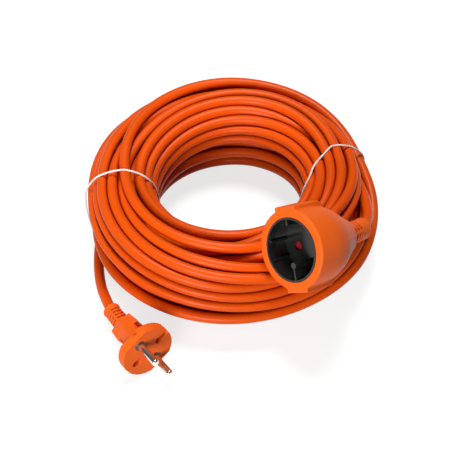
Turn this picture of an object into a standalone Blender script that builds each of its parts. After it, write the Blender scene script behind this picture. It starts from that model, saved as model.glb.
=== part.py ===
"""Two-core extension cord, wound into a tied coil, with its plug and its socket.

Lengths are metres, +Z is up and the coil lies on the plane z = 0. The plug and the
socket are each modelled along their own axis: local X is the line through the two
pins, local Y is the key's side and local Z points out of the contact face.
"""
import math

import bmesh
import bpy
from mathutils import Matrix, Vector

MM = 0.001
GAP = 0.3 * MM

# The coil: a bundle of turns with a rounded section, drawn in at its two ties.
COIL_CENTRE = Vector((-1.7, 18.9, 0.0)) * MM
COIL_RADIUS = 75.0 * MM
COIL_HALF_WIDTH = 27.0 * MM
COIL_HALF_HEIGHT = 34.0 * MM
COIL_ROUNDNESS = 2.3
COIL_STATIONS = 72
COIL_SECTION_POINTS = 18
CORD_DIAMETER = 7.2 * MM

TIE_WIRE_RADIUS = 0.6 * MM
TIE_INSET = 3.0 * MM
TIE_POINTS = 30
PINCH_DEPTH = 4.8 * MM
PINCH_REACH = 24.0 * MM
LEFT_TIE = {"top_deg": 180.0, "inner_shift_deg": 0.0}
RIGHT_TIE = {"top_deg": 16.0, "inner_shift_deg": -24.0}

# Two-pole plug: pins, round flange with a keyhole, wedge-shaped grip and relief.
PLUG_FACE = Vector((-53.1, -122.0, 19.4)) * MM
PLUG_AIM = {"azimuth_deg": -54.4, "elevation_deg": 7.5, "roll_deg": -62.6}
PIN_SPACING = 19.0 * MM
PIN_RADIUS = 2.4 * MM
PIN_LENGTH = 19.0 * MM
PIN_BACK = -13.8 * MM
PIN_SHOULDER = -11.2 * MM
PIN_TAIL_RADIUS = 1.6 * MM
FLANGE_RADIUS = 18.5 * MM
FLANGE_HALF_FLAT = 16.5 * MM
FLANGE_THICKNESS = 6.5 * MM
GRIP_BACK = -34.0 * MM
GRIP_FRONT_HALF = (15.6 * MM, 6.4 * MM)
GRIP_BACK_HALF = (6.8 * MM, 6.2 * MM)
KEYHOLE_OFFSET = 10.0 * MM
KEYHOLE_RADIUS = 2.4 * MM
KEY_SLOT_WIDTH = 2.6 * MM
COLLAR_RADIUS = 3.5 * MM
PLUG_RELIEF_END = -48.5 * MM
PLUG_RELIEF_RADII = (6.0 * MM, 5.7 * MM)
PLUG_SHEATH_START = -29.8 * MM

# Two-pole socket: a black insert with its recess, in a moulded body.
SOCKET_FACE = Vector((37.9, -93.5, 88.0)) * MM
SOCKET_AIM = {"azimuth_deg": -140.6, "elevation_deg": 24.4, "roll_deg": 39.9}
BODY_RADIUS = 26.0 * MM
BODY_BACK = -51.0 * MM
INSERT_RADIUS = 20.5 * MM
INSERT_BACK = -29.5 * MM
RECESS_RADIUS = 19.4 * MM
RECESS_DEPTH = 17.5 * MM
RECESS_FLOOR = 2.0 * MM
CHAMBER_RADIUS = 18.2 * MM
PIN_HOLE_RADIUS = 3.1 * MM
KEY_POST_RADIUS = 2.0 * MM
KEY_POST_OFFSET = -10.0 * MM
KEY_RIB_WIDTH = 1.1 * MM
GUIDE_RIB_OFFSET = 5.8 * MM
LUG_HALF_WIDTH = 8.2 * MM
LUG_HEIGHT = 27.5 * MM
LUG_LENGTH = 25.0 * MM
SHUTTER_TRAVEL = 6.0 * MM
SHUTTER_FRONT = -19.8 * MM
SHUTTER_THICKNESS = 2.6 * MM
CARRIER_FRONT = -22.8 * MM
CARRIER_BACK = -36.5 * MM
SOCKET_SHEATH_START = -46.8 * MM
SOCKET_RELIEF_RADII = (7.9 * MM, 7.0 * MM)

# The cord where it isn't coiled, in the coil's own frame: hand-chosen points.
PLUG_LEAD_ROUTE = [
    (-86.8, -70.3, 9.6),
    (-91.0, -53.0, 6.0),
    (-93.6, -35.0, 4.2),
    (-94.6, -17.0, 3.9),
    (-93.9, -1.0, 4.0),
    (-91.6, 13.0, 4.3),
]
SOCKET_RELIEF_ROUTE = [(81.4, -56.7, 62.1), (88.9, -48.4, 57.1)]
SOCKET_LEAD_ROUTE = [
    (94.4, -38.9, 52.4),
    (98.2, -26.0, 48.6),
    (99.6, -12.0, 45.8),
    (99.0, 2.0, 43.9),
]
LEAD_STEP = 14.0 * MM

CORE_RADIUS = 1.3 * MM
CRIMP_RADIUS = 1.65 * MM
TURN_SEGMENTS = 28
ROD_SIDES = 14


# ---------------------------------------------------------------- scene helpers


def clear_scene():
    for old in list(bpy.data.objects):
        bpy.data.objects.remove(old)


def material(name, colour, roughness, metallic=0.0):
    made = bpy.data.materials.new(name)
    made.use_nodes = True
    shader = made.node_tree.nodes["Principled BSDF"]
    shader.inputs["Base Color"].default_value = (*colour, 1.0)
    shader.inputs["Roughness"].default_value = roughness
    shader.inputs["Metallic"].default_value = metallic
    return made


def empty(name, parent=None, matrix=None):
    holder = bpy.data.objects.new(name, None)
    bpy.context.scene.collection.objects.link(holder)
    holder.parent = parent
    if matrix is not None:
        holder.matrix_local = matrix
    return holder


def aimed(place, azimuth_deg, elevation_deg, roll_deg):
    """A local frame at place whose Z has this azimuth and elevation, rolled about Z."""
    azimuth = math.radians(azimuth_deg)
    elevation = math.radians(elevation_deg)
    out = Vector((
        math.cos(elevation) * math.cos(azimuth),
        math.cos(elevation) * math.sin(azimuth),
        math.sin(elevation),
    ))
    level = Vector((-math.sin(azimuth), math.cos(azimuth), 0.0))
    upward = out.cross(level)
    roll = math.radians(roll_deg)
    key_side = upward * math.cos(roll) - level * math.sin(roll)
    pin_line = key_side.cross(out)
    turn = Matrix((pin_line, key_side, out)).transposed()
    return Matrix.Translation(place) @ turn.to_4x4()


def add_mesh(name, shape, look, parent):
    """Link a bmesh as a smooth-shaded object and free it."""
    bmesh.ops.recalc_face_normals(shape, faces=shape.faces)
    mesh = bpy.data.meshes.new(name)
    shape.to_mesh(mesh)
    shape.free()
    mesh.shade_smooth()
    mesh.set_sharp_from_angle(angle=math.radians(30))
    mesh.materials.append(look)
    made = bpy.data.objects.new(name, mesh)
    bpy.context.scene.collection.objects.link(made)
    made.parent = parent
    return made


def as_cutter(made):
    made.hide_render = True
    made.display_type = "WIRE"
    return made


def combine(target, others, operation):
    """Join or cut target with other objects, which stay as hidden guides."""
    for other in others:
        as_cutter(other)
        step = target.modifiers.new(f"{operation}_{other.name}", "BOOLEAN")
        step.operation = operation
        step.solver = "EXACT"
        step.object = other
    return target


# ---------------------------------------------------------------- basic shapes


def prism(name, outline, start, end, look, parent, end_scale=(1.0, 1.0)):
    """A straight or tapered prism along local Z from a counter-clockwise outline."""
    shape = bmesh.new()
    first = [shape.verts.new((x, y, start)) for x, y in outline]
    last = [shape.verts.new((x * end_scale[0], y * end_scale[1], end)) for x, y in outline]
    shape.faces.new(first)
    shape.faces.new(reversed(last))
    bmesh.ops.bridge_loops(shape, edges=rim_edges(shape))
    return add_mesh(name, shape, look, parent)


def rim_edges(shape):
    return [edge for edge in shape.edges if edge.is_boundary]


def circle(radius, sides, centre=(0.0, 0.0)):
    turns = [2.0 * math.pi * (k + 0.5) / sides for k in range(sides)]
    return [(centre[0] + radius * math.cos(t), centre[1] + radius * math.sin(t)) for t in turns]


def rectangle(half_x, half_y, centre=(0.0, 0.0)):
    corners = [(-half_x, -half_y), (half_x, -half_y), (half_x, half_y), (-half_x, half_y)]
    return [(centre[0] + x, centre[1] + y) for x, y in corners]


def rod(name, radius, start, end, look, parent, centre=(0.0, 0.0), sides=ROD_SIDES):
    return prism(name, circle(radius, sides, centre), start, end, look, parent)


def block(name, half_x, half_y, start, end, look, parent, centre=(0.0, 0.0)):
    return prism(name, rectangle(half_x, half_y, centre), start, end, look, parent)


def turned(name, profile, look, parent, segments=TURN_SEGMENTS):
    """Spin a closed (radius, height) profile about local Z; it may touch the axis."""
    shape = bmesh.new()
    ring = [shape.verts.new((radius, 0.0, height)) for radius, height in profile]
    edges = [shape.edges.new((ring[k], ring[k - 1])) for k in range(len(ring))]
    on_axis = [e for e in edges if all(v.co.x == 0.0 for v in e.verts)]
    bmesh.ops.delete(shape, geom=on_axis, context="EDGES")
    bmesh.ops.spin(
        shape, geom=list(shape.verts) + list(shape.edges), cent=(0, 0, 0), axis=(0, 0, 1),
        angle=2.0 * math.pi, steps=segments, use_merge=True,
    )
    bmesh.ops.remove_doubles(shape, verts=shape.verts, dist=0.001 * MM)
    return add_mesh(name, shape, look, parent)


def smooth_route(points, step):
    """Points about step apart on a Catmull-Rom curve through the given ones."""
    spread = [Vector(p) for p in points]
    spread = [spread[0] * 2 - spread[1]] + spread + [spread[-1] * 2 - spread[-2]]
    route = [spread[1]]
    for before, start, end, after in zip(spread, spread[1:], spread[2:], spread[3:]):
        pieces = max(1, round((end - start).length / step))
        for k in range(1, pieces + 1):
            t = k / pieces
            route.append(0.5 * (
                2 * start + (end - before) * t
                + (2 * before - 5 * start + 4 * end - after) * t ** 2
                + (3 * start - before - 3 * end + after) * t ** 3
            ))
    return route


def tube(name, route, radius, look, parent, closed=False, resolution=2):
    """A round tube along a route, with filled caps unless it is closed."""
    curve = bpy.data.curves.new(name, "CURVE")
    curve.dimensions = "3D"
    curve.bevel_depth = radius
    curve.bevel_resolution = resolution
    curve.use_fill_caps = not closed
    spline = curve.splines.new("POLY")
    spline.points.add(len(route) - 1)
    for point, place in zip(spline.points, route):
        point.co = (*place, 1.0)
    spline.use_cyclic_u = closed
    curve.materials.append(look)
    made = bpy.data.objects.new(name, curve)
    bpy.context.scene.collection.objects.link(made)
    made.parent = parent
    return made


def ring_about(place, along, radius, sides):
    """The points of a circle about a direction, started from the same side each time."""
    side = along.cross(Vector((0, 0, 1))).normalized()
    over = side.cross(along).normalized()
    turns = [2.0 * math.pi * k / sides for k in range(sides)]
    return [place + radius * (side * math.cos(t) + over * math.sin(t)) for t in turns]


def swept(name, route, radii, bore, look, parent, sides=20):
    """A tapered sleeve along a route; with no bore it is a solid bar."""
    shape = bmesh.new()
    loops = []
    for k, place in enumerate(route):
        along = (route[min(k + 1, len(route) - 1)] - route[max(k - 1, 0)]).normalized()
        share = k / (len(route) - 1)
        radius = radii[0] + (radii[1] - radii[0]) * share
        loops.append([shape.verts.new(p) for p in ring_about(place, along, radius, sides)])
    if bore:
        for k in reversed(range(len(route))):
            along = (route[min(k + 1, len(route) - 1)] - route[max(k - 1, 0)]).normalized()
            loops.append([shape.verts.new(p) for p in ring_about(route[k], along, bore, sides)])
        loops.append(loops[0])
    else:
        shape.faces.new(reversed(loops[0]))
        shape.faces.new(loops[-1])
    for near, far in zip(loops, loops[1:]):
        for k in range(sides):
            shape.faces.new((near[k - 1], near[k], far[k], far[k - 1]))
    return add_mesh(name, shape, look, parent)


# ---------------------------------------------------------------- coil and ties


def section_point(turn, inset=0.0):
    """Radius and height of the bundle's outline at a turn about its section."""
    power = 2.0 / COIL_ROUNDNESS
    across = math.copysign(abs(math.cos(turn)) ** power, math.cos(turn))
    up = math.copysign(abs(math.sin(turn)) ** power, math.sin(turn))
    radius = COIL_RADIUS + (COIL_HALF_WIDTH - inset) * across
    return radius, COIL_BASE + COIL_HALF_HEIGHT + (COIL_HALF_HEIGHT - inset) * up


def lowest_section_height():
    """How far the outline's lowest point lies above its section's nominal base."""
    half_step = math.pi / COIL_SECTION_POINTS
    return COIL_HALF_HEIGHT * (1.0 - math.cos(half_step) ** (2.0 / COIL_ROUNDNESS))


COIL_BASE = -lowest_section_height()


def tie_angle(tie, turn):
    """The coil angle of a tie at a turn about the section; its inner side may slant."""
    inward = max(0.0, -math.cos(turn))
    return math.radians(tie["top_deg"] + tie["inner_shift_deg"] * inward ** 1.5)


def pinch(angle, turn):
    """How far the bundle is drawn in beside its ties."""
    depth = 0.0
    for tie in (LEFT_TIE, RIGHT_TIE):
        away = math.remainder(angle - tie_angle(tie, turn), 2.0 * math.pi) * COIL_RADIUS
        if abs(away) < PINCH_REACH:
            depth = max(depth, PINCH_DEPTH * math.cos(0.5 * math.pi * away / PINCH_REACH) ** 2)
    return depth


def around(angle, radius, height):
    return Vector((radius * math.cos(angle), radius * math.sin(angle), height))


def coil_solid(look, parent):
    """The bundle's outer shape: a turned ring, drawn in at the ties."""
    shape = bmesh.new()
    rings = []
    for station in range(COIL_STATIONS):
        angle = 2.0 * math.pi * station / COIL_STATIONS
        ring = []
        for k in range(COIL_SECTION_POINTS):
            turn = 2.0 * math.pi * k / COIL_SECTION_POINTS
            radius, height = section_point(turn, pinch(angle, turn))
            ring.append(shape.verts.new(around(angle, radius, height)))
        rings.append(ring)
    for near, far in zip(rings, rings[1:] + rings[:1]):
        for k in range(COIL_SECTION_POINTS):
            shape.faces.new((near[k - 1], near[k], far[k], far[k - 1]))
    return add_mesh("cord_coil", shape, look, parent)


def tie_loop(name, tie, look, parent):
    route = []
    for k in range(TIE_POINTS):
        turn = 2.0 * math.pi * k / TIE_POINTS
        radius, height = section_point(turn, TIE_INSET)
        route.append(around(tie_angle(tie, turn), radius, height))
    return tube(name, route, TIE_WIRE_RADIUS, look, parent, closed=True)


def socket_nest(look, parent):
    """The hollow that the socket's body presses into the bundle."""
    profile = [
        (0.0, 3.0), (27.2, 3.0), (27.0, -22.0), (25.4, -30.0), (21.6, -38.0),
        (15.4, -47.0), (13.4, -52.0), (0.0, -52.0),
    ]
    return turned("socket_nest", in_metres(profile), look, parent, segments=32)


def in_metres(points):
    return [tuple(value * MM for value in point) for point in points]


# ---------------------------------------------------------------- plug


def flange_outline(radius, half_flat, arc_steps=12):
    """A circle with a flat at each end of the pin line."""
    start = math.acos(half_flat / radius)
    outline = []
    for side in (0.0, math.pi):
        for k in range(arc_steps + 1):
            turn = side + start + (math.pi - 2.0 * start) * k / arc_steps
            outline.append((radius * math.cos(turn), radius * math.sin(turn)))
    return outline


def grip_outline(half_x, half_y):
    """A flat-sided block with a low ridge at each end of the pin line."""
    return [
        (half_x, 0.0), (0.94 * half_x, 0.8 * half_y), (0.8 * half_x, half_y),
        (-0.8 * half_x, half_y), (-0.94 * half_x, 0.8 * half_y), (-half_x, 0.0),
        (-0.94 * half_x, -0.8 * half_y), (-0.8 * half_x, -half_y),
        (0.8 * half_x, -half_y), (0.94 * half_x, -0.8 * half_y),
    ]


def plug_body(look, parent):
    """The moulding: flange, wedge-shaped grip with two tabs, and the space inside."""
    outline = flange_outline(FLANGE_RADIUS, FLANGE_HALF_FLAT)
    body = prism("plug_body", outline, -FLANGE_THICKNESS, 0.0, look, parent)
    taper = [back / front for back, front in zip(GRIP_BACK_HALF, GRIP_FRONT_HALF)]
    grip = prism(
        "plug_grip", grip_outline(*GRIP_FRONT_HALF), -FLANGE_THICKNESS + 1.0 * MM,
        GRIP_BACK, look, parent, end_scale=taper,
    )
    tabs = block("plug_tabs", 4.8 * MM, 8.7 * MM, -32.5 * MM, -22.0 * MM, look, parent)
    combine(body, [grip, tabs], "UNION")
    combine(body, plug_cutters(look, parent), "DIFFERENCE")
    return body


def plug_cutters(look, parent):
    depth = (-FLANGE_THICKNESS - 1.0 * MM, 1.0 * MM)
    key = (0.0, KEYHOLE_OFFSET)
    slot_half = 0.5 * (FLANGE_RADIUS + 2.0 * MM - KEYHOLE_OFFSET)
    slot_centre = (0.0, KEYHOLE_OFFSET + slot_half)
    pocket = rectangle(12.6 * MM, 4.3 * MM)
    cutters = [
        rod("keyhole", KEYHOLE_RADIUS, *depth, look, parent, key),
        block("key_slot", 0.5 * KEY_SLOT_WIDTH, slot_half, *depth, look, parent, slot_centre),
        rod("rib_hole", 2.0 * MM, *depth, look, parent, (0.0, -KEYHOLE_OFFSET)),
        block("rim_notch", 1.3 * MM, 1.6 * MM, *depth, look, parent, (0.0, -18.8 * MM)),
        prism("carrier_pocket", pocket, -2.2 * MM, -11.4 * MM, look, parent),
        prism(
            "core_pocket", rectangle(12.3 * MM, 3.9 * MM), -11.0 * MM, -29.5 * MM, look,
            parent, end_scale=(0.53, 1.0),
        ),
        rod("sheath_bore", 4.0 * MM, -36.0 * MM, -29.0 * MM, look, parent, sides=20),
    ]
    for side in (-1, 1):
        centre = (0.5 * side * PIN_SPACING, 0.0)
        bore = COLLAR_RADIUS + GAP + 0.1 * MM
        cutters.append(rod(f"collar_bore_{side}", bore, -3.3 * MM, 1.0 * MM, look, parent, centre))
    return cutters


def pin_carrier(look, parent):
    """The hard moulding that spaces the pins; its two collars show at the face."""
    carrier = block("plug_pin_carrier", 12.2 * MM, 3.9 * MM, -11.0 * MM, -2.6 * MM, look, parent)
    collars = []
    bores = []
    for side in (-1, 1):
        centre = (0.5 * side * PIN_SPACING, 0.0)
        collars.append(
            rod(f"collar_{side}", COLLAR_RADIUS, -2.9 * MM, 0.2 * MM, look, parent, centre))
        bores.append(
            rod(f"pin_bore_{side}", PIN_RADIUS + 0.4 * MM, -12.0 * MM, 1.0 * MM, look, parent,
                centre))
    combine(carrier, collars, "UNION")
    return combine(carrier, bores, "DIFFERENCE")


def contact_pin(name, side, look, parent):
    """A round pin with a rounded tip, turned about its own axis."""
    holder = empty(f"{name}_axis", parent, Matrix.Translation((0.5 * side * PIN_SPACING, 0, 0)))
    tip = [(PIN_RADIUS * math.sin(t), PIN_LENGTH - PIN_RADIUS * (1.0 - math.cos(t)))
           for t in (0.0, math.pi / 6, math.pi / 3, math.pi / 2)]
    tail = [(0.0, PIN_BACK), (PIN_TAIL_RADIUS, PIN_BACK), (PIN_TAIL_RADIUS, PIN_SHOULDER)]
    profile = [*tail, (PIN_RADIUS, PIN_SHOULDER), *reversed(tip)]
    return turned(name, profile, look, holder, segments=ROD_SIDES)


def core(name, side, route, look, parent):
    points = [(side * x * MM, 0.0, z * MM) for x, z in route]
    return tube(name, smooth_route(points, 1.6 * MM), CORE_RADIUS, look, parent)


def build_plug(looks, parent):
    plug_body(looks["cord"], parent)
    pin_carrier(looks["collar"], parent)
    for letter, side, colour in (("a", -1, "brown"), ("b", 1, "blue")):
        contact_pin(f"plug_pin_{letter}", side, looks["nickel"], parent)
        rod(f"plug_crimp_{letter}", CRIMP_RADIUS, -19.0 * MM, PIN_BACK - GAP, looks["brass"],
            parent, (side * 8.0 * MM, 0.0), sides=10)
        core(f"plug_core_{colour}", side, [(8.0, -19.6), (7.6, -21.7), (4.6, -25.6), (1.8, -28.9)],
             looks[colour], parent)


# ---------------------------------------------------------------- socket


def socket_body(look, parent):
    """The outer moulding: a tapering shell with a flat lug above and below."""
    profile = [
        (26.0, 0.0), (25.8, -22.0), (24.2, -30.0), (20.4, -38.0), (14.2, -47.0), (12.2, -51.0),
        (4.0, -51.0), (4.0, -46.2), (10.6, -43.2), (16.8, -37.2), (16.8, -30.0), (20.9, -30.0),
        (20.9, 0.0),
    ]
    body = turned("socket_body", in_metres(profile), look, parent, segments=36)
    lugs = []
    for side in (-1, 1):
        inner = 21.6 * MM
        centre = (0.0, side * 0.5 * (inner + LUG_HEIGHT))
        lugs.append(block(f"lug_{side}", LUG_HALF_WIDTH, 0.5 * (LUG_HEIGHT - inner), -LUG_LENGTH,
                          0.0, look, parent, centre))
    return combine(body, lugs, "UNION")


def socket_insert(look, parent):
    """The black insert: recess, floor with two pin holes, key post, ribs and skirt."""
    floor_back = -RECESS_DEPTH - RECESS_FLOOR
    profile = [
        (0.0, -RECESS_DEPTH), (RECESS_RADIUS, -RECESS_DEPTH), (RECESS_RADIUS, 0.0),
        (INSERT_RADIUS, 0.0), (INSERT_RADIUS, INSERT_BACK), (CHAMBER_RADIUS, INSERT_BACK),
        (CHAMBER_RADIUS, floor_back), (0.0, floor_back),
    ]
    insert = turned("socket_insert", profile, look, parent, segments=32)
    root = -RECESS_DEPTH - 0.5 * MM
    front = -0.2 * MM
    post = rod("key_post", KEY_POST_RADIUS, root, front, look, parent, (0.0, KEY_POST_OFFSET))
    rib_half = 0.5 * (RECESS_RADIUS + 0.5 * MM + KEY_POST_OFFSET)
    rib_centre = (0.0, KEY_POST_OFFSET - rib_half)
    pieces = [
        post,
        block("key_rib", 0.5 * KEY_RIB_WIDTH, rib_half, root, front, look, parent, rib_centre),
        block("top_rib", 0.5 * KEY_RIB_WIDTH, 2.2 * MM, root, front, look, parent,
              (0.0, RECESS_RADIUS - 1.7 * MM)),
    ]
    for side in (-1, 1):
        for end in (-1, 1):
            centre = (side * 17.9 * MM, end * GUIDE_RIB_OFFSET)
            pieces.append(block(f"guide_rib_{side}_{end}", 1.0 * MM, 0.5 * MM, root, -3.0 * MM,
                                look, parent, centre))
    combine(insert, pieces, "UNION")
    holes = [
        rod(f"pin_hole_{side}", PIN_HOLE_RADIUS, -20.5 * MM, -16.5 * MM, look, parent,
            (0.5 * side * PIN_SPACING, 0.0))
        for side in (-1, 1)
    ]
    return combine(insert, holes, "DIFFERENCE")


def shutter(look, parent):
    """A sliding plate: closed at rest, its two holes meet the pin holes when it moves."""
    low = -10.7 * MM
    high = 4.3 * MM
    half = 0.5 * (high - low)
    centre = (0.0, 0.5 * (high + low))
    back = SHUTTER_FRONT - SHUTTER_THICKNESS
    plate = block("shutter", 13.5 * MM, half, back, SHUTTER_FRONT, look, parent, centre)
    holes = [
        rod(f"shutter_hole_{side}", PIN_HOLE_RADIUS + 0.1 * MM, back - 1.0 * MM,
            SHUTTER_FRONT + 1.0 * MM, look, parent,
            (0.5 * side * PIN_SPACING, -SHUTTER_TRAVEL))
        for side in (-1, 1)
    ]
    return combine(plate, holes, "DIFFERENCE")


def shutter_spring(look, parent):
    """A compression spring between the shutter's edge and the chamber's wall."""
    turns = 5
    steps = 9
    low = 4.9 * MM
    high = 17.6 * MM
    depth = SHUTTER_FRONT - 0.5 * SHUTTER_THICKNESS
    route = []
    for k in range(turns * steps + 1):
        turn = 2.0 * math.pi * k / steps
        height = low + (high - low) * k / (turns * steps)
        route.append(Vector((1.0 * MM * math.cos(turn), height, depth + 1.0 * MM * math.sin(turn))))
    return tube("shutter_spring", route, 0.22 * MM, look, parent, resolution=1)


def contact_carrier(look, parent):
    """The block behind the shutter, with a chamber through it for each contact."""
    profile = [
        (0.0, CARRIER_FRONT), (17.8 * MM, CARRIER_FRONT), (17.8 * MM, INSERT_BACK + GAP),
        (16.4 * MM, INSERT_BACK + GAP), (16.4 * MM, CARRIER_BACK), (0.0, CARRIER_BACK),
    ]
    carrier = turned("contact_carrier", profile, look, parent)
    chambers = [
        block(f"contact_chamber_{side}", 3.5 * MM, 3.4 * MM, CARRIER_BACK - 1.0 * MM,
              CARRIER_FRONT + 1.0 * MM, look, parent, (0.5 * side * PIN_SPACING, 0.0))
        for side in (-1, 1)
    ]
    return combine(carrier, chambers, "DIFFERENCE")


def spring_contact(name, side, look, parent):
    """A folded strip: two leaves that grip the pin, joined behind, with a short tail."""
    fold = [
        (2.9, -24.0), (2.3, -24.0), (2.3, -35.4), (-2.3, -35.4), (-2.3, -24.0), (-2.9, -24.0),
        (-2.9, -36.0), (-0.6, -36.0), (-0.6, -36.9), (0.6, -36.9), (0.6, -36.0), (2.9, -36.0),
    ]
    shape = bmesh.new()
    strip = shape.faces.new([
        shape.verts.new((-3.0 * MM, y * MM, z * MM)) for y, z in fold
    ])
    grown = bmesh.ops.extrude_face_region(shape, geom=[strip])
    moved = [item for item in grown["geom"] if isinstance(item, bmesh.types.BMVert)]
    bmesh.ops.translate(shape, verts=moved, vec=(6.0 * MM, 0.0, 0.0))
    made = add_mesh(name, shape, look, parent)
    made.location.x = 0.5 * side * PIN_SPACING
    return made


def build_socket(looks, parent):
    socket_body(looks["cord"], parent)
    socket_insert(looks["insert"], parent)
    shutter(looks["shutter"], parent)
    shutter_spring(looks["nickel"], parent)
    contact_carrier(looks["insert"], parent)
    for letter, side, colour in (("a", -1, "brown"), ("b", 1, "blue")):
        spring_contact(f"contact_{letter}", side, looks["brass"], parent)
        rod(f"socket_crimp_{letter}", CRIMP_RADIUS, -41.2 * MM, -37.3 * MM, looks["brass"],
            parent, (side * 8.0 * MM, 0.0), sides=10)
        core(f"socket_core_{colour}", side, [(8.0, -41.8), (7.5, -43.0), (4.3, -44.5), (1.8, -45.6)],
             looks[colour], parent)


# ---------------------------------------------------------------- whole cord


def along_axis(frame, heights):
    """Points on a local frame's Z axis, in the coil's frame."""
    return [frame @ Vector((0.0, 0.0, height)) for height in heights]


def swept_sleeves(looks, parent, plug_frame, socket_frame):
    """The two strain reliefs, open along the cord that they hold, and the socket's hollow."""
    bore = 0.5 * CORD_DIAMETER + 0.4 * MM
    plug_ends = along_axis(plug_frame, (GRIP_BACK - GAP, PLUG_RELIEF_END))
    plug_route = [plug_ends[0].lerp(plug_ends[1], k / 4) for k in range(5)]
    swept("plug_strain_relief", plug_route, PLUG_RELIEF_RADII, bore, looks["cord"], parent)
    root = along_axis(socket_frame, (BODY_BACK - GAP, BODY_BACK - 3.0 * MM))
    socket_route = smooth_route(root + vectors(SOCKET_RELIEF_ROUTE), 5.0 * MM)
    swept("socket_strain_relief", socket_route, SOCKET_RELIEF_RADII, bore, looks["cord"], parent)
    hollow = [radius + 0.8 * MM for radius in SOCKET_RELIEF_RADII]
    onward = socket_route[-1] + (socket_route[-1] - socket_route[-2]).normalized() * MM
    return swept("relief_nest", socket_route + [onward], hollow, None, looks["cord"], parent)


def vectors(points):
    return [Vector(point) * MM for point in points]


def lead_routes(plug_frame, socket_frame):
    """The uncoiled cord, from inside each fitting to where it joins the coil."""
    plug_start = along_axis(plug_frame, (PLUG_SHEATH_START, -40.0 * MM, PLUG_RELIEF_END))
    plug_lead = smooth_route(plug_start + vectors(PLUG_LEAD_ROUTE), LEAD_STEP)
    socket_start = along_axis(socket_frame, (SOCKET_SHEATH_START, BODY_BACK))
    socket_points = socket_start + vectors(SOCKET_RELIEF_ROUTE + SOCKET_LEAD_ROUTE)
    return plug_lead, smooth_route(socket_points, 0.7 * LEAD_STEP)


def channel(name, route, look, parent):
    """The groove that a lead lies in: a little wider and longer than the lead."""
    onward = route[-1] + (route[-1] - route[-2]).normalized() * 2.0 * GAP
    return swept(name, route + [onward], (0.5 * CORD_DIAMETER + 0.7 * MM,) * 2, None, look, parent)


def build():
    clear_scene()
    looks = {
        "cord": material("orange_pvc", (0.83, 0.13, 0.015), 0.35),
        "tie": material("white_tie", (0.85, 0.85, 0.85), 0.5),
        "collar": material("dark_grey_plastic", (0.06, 0.06, 0.055), 0.45),
        "insert": material("black_plastic", (0.012, 0.012, 0.012), 0.3),
        "shutter": material("red_plastic", (0.45, 0.01, 0.01), 0.4),
        "nickel": material("nickel_plate", (0.75, 0.7, 0.63), 0.2, 1.0),
        "brass": material("brass", (0.72, 0.52, 0.22), 0.3, 1.0),
        "brown": material("brown_insulation", (0.16, 0.06, 0.03), 0.5),
        "blue": material("blue_insulation", (0.03, 0.12, 0.5), 0.5),
    }
    whole = empty("whole_cord", matrix=Matrix.Translation(COIL_CENTRE))
    plug_frame = aimed(PLUG_FACE, **PLUG_AIM)
    socket_frame = aimed(SOCKET_FACE, **SOCKET_AIM)
    plug = empty("plug_axis", whole, plug_frame)
    socket = empty("socket_axis", whole, socket_frame)
    build_plug(looks, plug)
    build_socket(looks, socket)
    relief_nest = swept_sleeves(looks, whole, plug_frame, socket_frame)
    plug_lead, socket_lead = lead_routes(plug_frame, socket_frame)
    tube("cord_lead_plug", plug_lead, 0.5 * CORD_DIAMETER, looks["cord"], whole, resolution=3)
    tube("cord_lead_socket", socket_lead, 0.5 * CORD_DIAMETER, looks["cord"], whole, resolution=3)
    coil = coil_solid(looks["cord"], whole)
    combine(coil, [
        socket_nest(looks["cord"], socket),
        relief_nest,
        channel("plug_lead_channel", plug_lead, looks["cord"], whole),
        channel("socket_lead_channel", socket_lead, looks["cord"], whole),
    ], "DIFFERENCE")
    tie_loop("tie_left", LEFT_TIE, looks["tie"], whole)
    tie_loop("tie_right", RIGHT_TIE, looks["tie"], whole)


build()
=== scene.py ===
"""The looks of the tied extension cord: its coil, ties, plug, socket and materials.

Lengths below are millimetres in the coil's own frame, as in part.py, unless a comment
says otherwise; COIL_CENTRE and MM take them to the row frame in metres.
"""

import math

import bmesh
import bpy
import numpy as np
from mathutils import Matrix, Vector


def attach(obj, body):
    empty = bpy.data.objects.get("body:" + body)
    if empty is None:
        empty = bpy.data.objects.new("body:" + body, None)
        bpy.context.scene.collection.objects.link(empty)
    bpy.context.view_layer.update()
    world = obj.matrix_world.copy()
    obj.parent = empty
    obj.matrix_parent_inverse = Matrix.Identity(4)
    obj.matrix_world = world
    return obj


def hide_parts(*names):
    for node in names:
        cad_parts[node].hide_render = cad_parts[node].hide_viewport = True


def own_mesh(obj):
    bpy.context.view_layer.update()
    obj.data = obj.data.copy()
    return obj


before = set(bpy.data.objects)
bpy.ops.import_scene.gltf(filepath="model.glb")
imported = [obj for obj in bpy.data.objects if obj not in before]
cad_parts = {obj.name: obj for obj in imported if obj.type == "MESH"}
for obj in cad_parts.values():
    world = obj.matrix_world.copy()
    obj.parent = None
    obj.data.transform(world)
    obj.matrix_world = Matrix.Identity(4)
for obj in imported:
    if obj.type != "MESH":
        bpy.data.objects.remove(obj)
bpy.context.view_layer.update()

MM = 0.001
COIL_CENTRE = Vector((-1.7, 18.9, 0.0))
CORD = 7.2

# The bundle's section, as in part.py.
RING_RADIUS = 75.0
MIDDLE_Z = 34.0
HALF_WIDTH = 27.0
HALF_HEIGHT = 34.0
ROUNDNESS = 2.3

# Each tie's place on the ring, in degrees, and how far its inner side slants from there.
TIES = {"tie_left": (182.5, 1.0), "tie_right": (16.0, -24.0)}
TIE_SLANT_POWER = 1.5
PINCH_DEPTH = 3.6
PINCH_REACH = 26.0

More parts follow.
